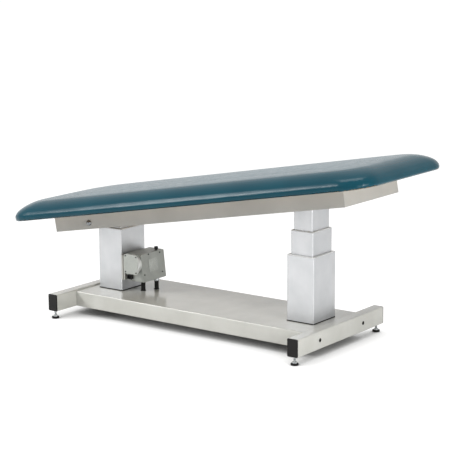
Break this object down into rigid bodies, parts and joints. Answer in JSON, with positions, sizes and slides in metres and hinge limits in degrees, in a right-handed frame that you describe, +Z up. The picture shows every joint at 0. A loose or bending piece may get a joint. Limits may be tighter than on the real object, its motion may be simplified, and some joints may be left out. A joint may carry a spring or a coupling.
{
  "type": "ultrasound table",
  "caption": "Powered ultrasound examination table: padded teal top on a tilting steel frame, carried by telescopic lift columns on a low platform base with levelling feet.",
  "frame": {"origin": "on the floor, under the middle of the whole table's bounding box at rest", "axes": "+X along the table towards the raised end, +Y across it away from the pictured side, +Z up"},
  "size_m": [1.9006, 0.686, 0.819],
  "materials": {
    "base_paint": "satin",
    "frame_paint": "satin",
    "column_aluminium": "satin",
    "pump_casting": "satin",
    "bare_steel": "satin",
    "chrome": "polished",
    "bronze": "satin",
    "slide_plastic": "satin",
    "black_plastic": "satin",
    "black_rubber": "matte",
    "plywood": "matte",
    "vinyl": "satin"
  },
  "bodies": {
    "base": {"left_foot_tube": "base_paint", "right_foot_tube": "base_paint", "left_front_end_cap": "black_plastic", "left_rear_end_cap": "black_plastic", "right_front_end_cap": "black_plastic", "right_rear_end_cap": "black_plastic", "front_base_rail": "base_paint", "rear_base_rail": "base_paint", "platform_cover": "base_paint", "left_column_plate": "base_paint", "right_column_plate": "base_paint", "left_column_gasket": "black_rubber", "right_column_gasket": "black_rubber", "left_outer_column": "column_aluminium", "right_outer_column": "column_aluminium", "left_outer_guide": "slide_plastic", "right_outer_guide": "slide_plastic", "left_ram_barrel": "bare_steel", "right_ram_barrel": "bare_steel", "pump_bracket": "base_paint", "pump_housing": "pump_casting", "pump_motor": "pump_casting", "pump_cover": "pump_casting", "filler_cap": "black_plastic", "mains_inlet": "black_plastic", "left_lift_hose": "black_rubber", "right_lift_hose": "black_rubber"},
    "left_front_foot": {"left_front_levelling_foot": "black_plastic"},
    "left_rear_foot": {"left_rear_levelling_foot": "black_plastic"},
    "right_front_foot": {"right_front_levelling_foot": "black_plastic"},
    "right_rear_foot": {"right_rear_levelling_foot": "black_plastic"},
    "left_middle_stage": {"left_middle_column": "column_aluminium", "left_middle_guide": "slide_plastic", "left_ram_sleeve": "chrome"},
    "left_inner_stage": {"left_inner_column": "column_aluminium", "left_ram_rod": "chrome", "left_pivot_head": "bare_steel", "front_head_bush": "bronze", "rear_head_bush": "bronze"},
    "right_middle_stage": {"right_middle_column": "column_aluminium", "right_middle_guide": "slide_plastic", "right_ram_sleeve": "chrome"},
    "right_inner_stage": {"right_inner_column": "column_aluminium", "right_ram_rod": "chrome", "right_roller_head": "bare_steel", "roller_pin": "bare_steel"},
    "front_roller": {"front_guide_roller": "slide_plastic"},
    "rear_roller": {"rear_guide_roller": "slide_plastic"},
    "top": {"front_apron": "frame_paint", "rear_apron": "frame_paint", "left_apron": "frame_paint", "right_apron": "frame_paint", "front_apron_bush": "bronze", "rear_apron_bush": "bronze", "roller_guide": "base_paint", "deck_board": "plywood", "cushion": "vinyl", "tilt_axle": "chrome", "axle_cap_nut": "chrome"}
  },
  "joints": [
    {"name": "left_front_foot_screw", "type": "slide", "parent": "base", "child": "left_front_foot", "axis": [0, 0, 1], "range_m": [-0.012, 0]},
    {"name": "left_rear_foot_screw", "type": "slide", "parent": "base", "child": "left_rear_foot", "axis": [0, 0, 1], "range_m": [-0.012, 0]},
    {"name": "right_front_foot_screw", "type": "slide", "parent": "base", "child": "right_front_foot", "axis": [0, 0, 1], "range_m": [-0.012, 0]},
    {"name": "right_rear_foot_screw", "type": "slide", "parent": "base", "child": "right_rear_foot", "axis": [0, 0, 1], "range_m": [-0.012, 0]},
    {"name": "height_lift", "type": "slide", "parent": "base", "child": "left_middle_stage", "axis": [0, 0, 1], "range_m": [0, 0.105]},
    {"name": "left_inner_lift", "type": "slide", "parent": "left_middle_stage", "child": "left_inner_stage", "axis": [0, 0, 1], "range_m": [0, 0.105]},
    {"name": "top_tilt", "type": "hinge", "parent": "left_inner_stage", "child": "top", "pos_m": [-0.5571, 0, 0.4334], "axis": [0, -1, 0], "range_deg": [-10.25, 0]},
    {"name": "right_middle_lift", "type": "slide", "parent": "left_middle_stage", "child": "right_middle_stage", "axis": [0, 0, 1], "range_m": [-0.0951, 0]},
    {"name": "right_inner_lift", "type": "slide", "parent": "left_inner_stage", "child": "right_inner_stage", "axis": [0, 0, 1], "range_m": [-0.1901, 0]},
    {"name": "front_roller_spin", "type": "hinge", "parent": "right_inner_stage", "child": "front_roller", "pos_m": [0.4934, -0.08, 0.6234], "axis": [0, 1, 0], "continuous": true},
    {"name": "rear_roller_spin", "type": "hinge", "parent": "right_inner_stage", "child": "rear_roller", "pos_m": [0.4934, 0.08, 0.6234], "axis": [0, 1, 0], "continuous": true}
  ],
  "couplings": [
    {"joint": "left_inner_lift", "follows": "height_lift", "ratio": 1},
    {"joint": "right_middle_lift", "follows": "top_tilt", "m_per_rad": 0.53093},
    {"joint": "right_inner_lift", "follows": "top_tilt", "m_per_rad": 1.0619}
  ]
}
